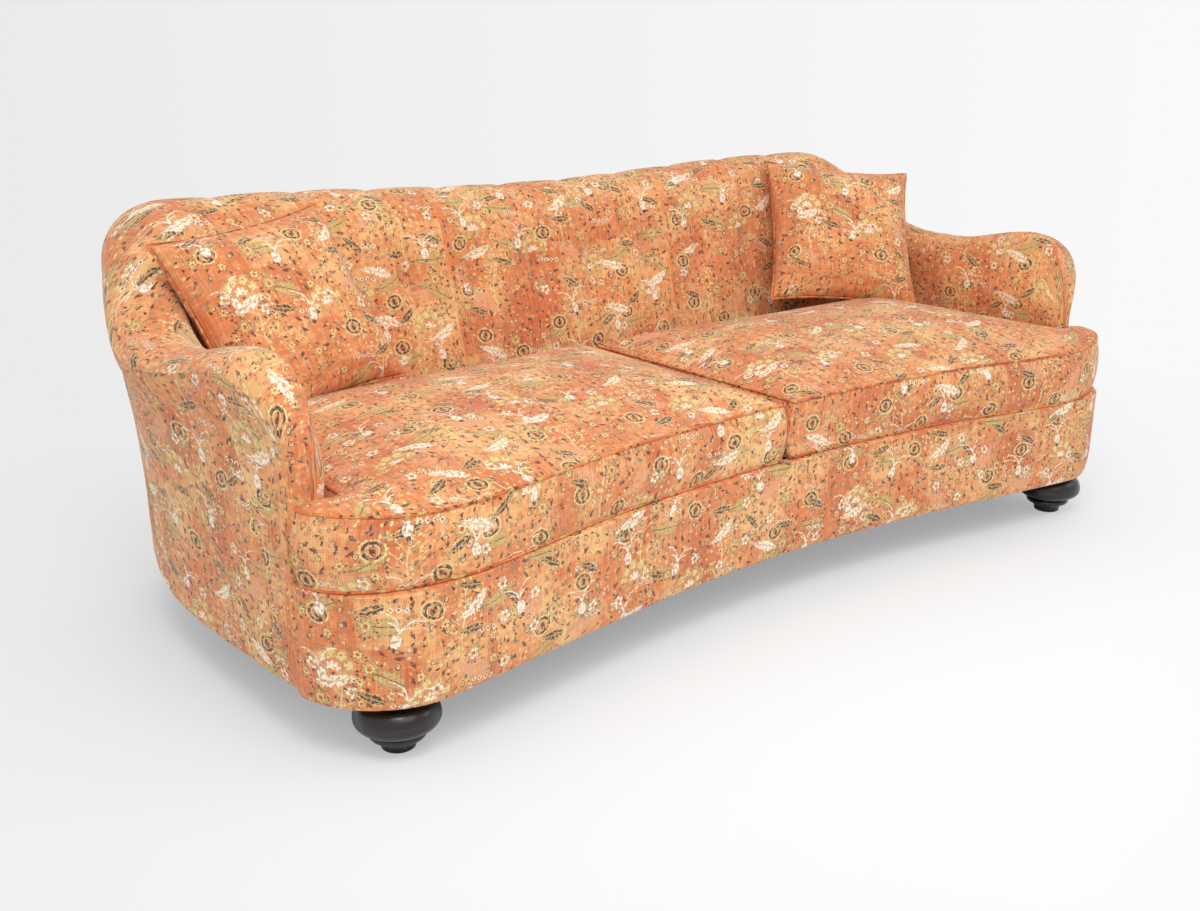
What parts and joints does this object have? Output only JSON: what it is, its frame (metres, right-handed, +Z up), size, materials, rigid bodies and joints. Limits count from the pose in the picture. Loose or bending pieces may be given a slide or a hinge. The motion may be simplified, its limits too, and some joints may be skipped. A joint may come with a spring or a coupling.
{
  "type": "sofa",
  "caption": "Two-seat sofa with a curved front, a back that sweeps down into low rolled arms, loose seat and scatter cushions, and turned bun feet.",
  "frame": {"origin": "on the floor, in the middle of the footprint", "axes": "+X along the sofa's length, to the right of a person who faces its front; the front faces -Y; +Z up"},
  "size_m": [2.2972, 1.1074, 0.8377],
  "materials": {
    "printed_cloth": "printed linen weave, matt",
    "foot_wood": "near-black brown, polished",
    "beech": "plain sawn beech",
    "plywood": "plain birch plywood",
    "spring_steel": "drawn spring steel",
    "deck_felt": "felt pad under platform cloth",
    "lining_cloth": "black spunbond cloth"
  },
  "bodies": {
    "body": {"arm_front_left": "printed_cloth", "arm_front_rib_left": "plywood", "arm_front_rib_right": "plywood", "arm_front_right": "printed_cloth", "arm_rear_rib_left": "plywood", "arm_rear_rib_right": "plywood", "arm_top_rail_left": "plywood", "arm_top_rail_right": "plywood", "back_end_rib_left": "plywood", "back_end_rib_right": "plywood", "back_rib_left": "plywood", "back_rib_right": "plywood", "back_seat_rail": "beech", "back_top_rail": "plywood", "bun_foot_front_left": "foot_wood", "bun_foot_front_right": "foot_wood", "bun_foot_rear_left": "foot_wood", "bun_foot_rear_right": "foot_wood", "centre_stretcher_left": "beech", "centre_stretcher_right": "beech", "corner_block_front_left": "beech", "corner_block_front_right": "beech", "corner_block_rear_left": "beech", "corner_block_rear_right": "beech", "corner_rib_left": "plywood", "corner_rib_right": "plywood", "dust_cover": "lining_cloth", "foot_bolt_front_left": "spring_steel", "foot_bolt_front_right": "spring_steel", "foot_bolt_rear_left": "spring_steel", "foot_bolt_rear_right": "spring_steel", "front_border": "printed_cloth", "front_seat_rail": "beech", "inside_arm_left": "printed_cloth", "inside_arm_right": "printed_cloth", "inside_back": "printed_cloth", "outside_arm_left": "printed_cloth", "outside_arm_right": "printed_cloth", "outside_back": "printed_cloth", "seat_deck": "deck_felt", "seat_spring_left_1": "spring_steel", "seat_spring_left_2": "spring_steel", "seat_spring_left_3": "spring_steel", "seat_spring_left_4": "spring_steel", "seat_spring_right_1": "spring_steel", "seat_spring_right_2": "spring_steel", "seat_spring_right_3": "spring_steel", "seat_spring_right_4": "spring_steel", "shoulder_rail_left": "plywood", "shoulder_rail_right": "plywood", "side_rail_left": "beech", "side_rail_right": "beech"},
    "left_seat_cushion": {"seat_cushion_left": "printed_cloth"},
    "right_seat_cushion": {"seat_cushion_right": "printed_cloth"},
    "left_scatter_cushion": {"scatter_cushion_left": "printed_cloth"},
    "right_scatter_cushion": {"scatter_cushion_right": "printed_cloth"}
  },
  "joints": [
    {"name": "left_seat_cushion_lift", "type": "slide", "parent": "body", "child": "left_seat_cushion", "axis": [0, 0, 1], "range_m": [0, 0.56]},
    {"name": "right_seat_cushion_lift", "type": "slide", "parent": "body", "child": "right_seat_cushion", "axis": [0, 0, 1], "range_m": [0, 0.56]},
    {"name": "left_scatter_cushion_lift", "type": "slide", "parent": "left_seat_cushion", "child": "left_scatter_cushion", "axis": [0, 0, 1], "range_m": [0, 0.4]},
    {"name": "right_scatter_cushion_lift", "type": "slide", "parent": "right_seat_cushion", "child": "right_scatter_cushion", "axis": [0, 0, 1], "range_m": [0, 0.4]}
  ]
}
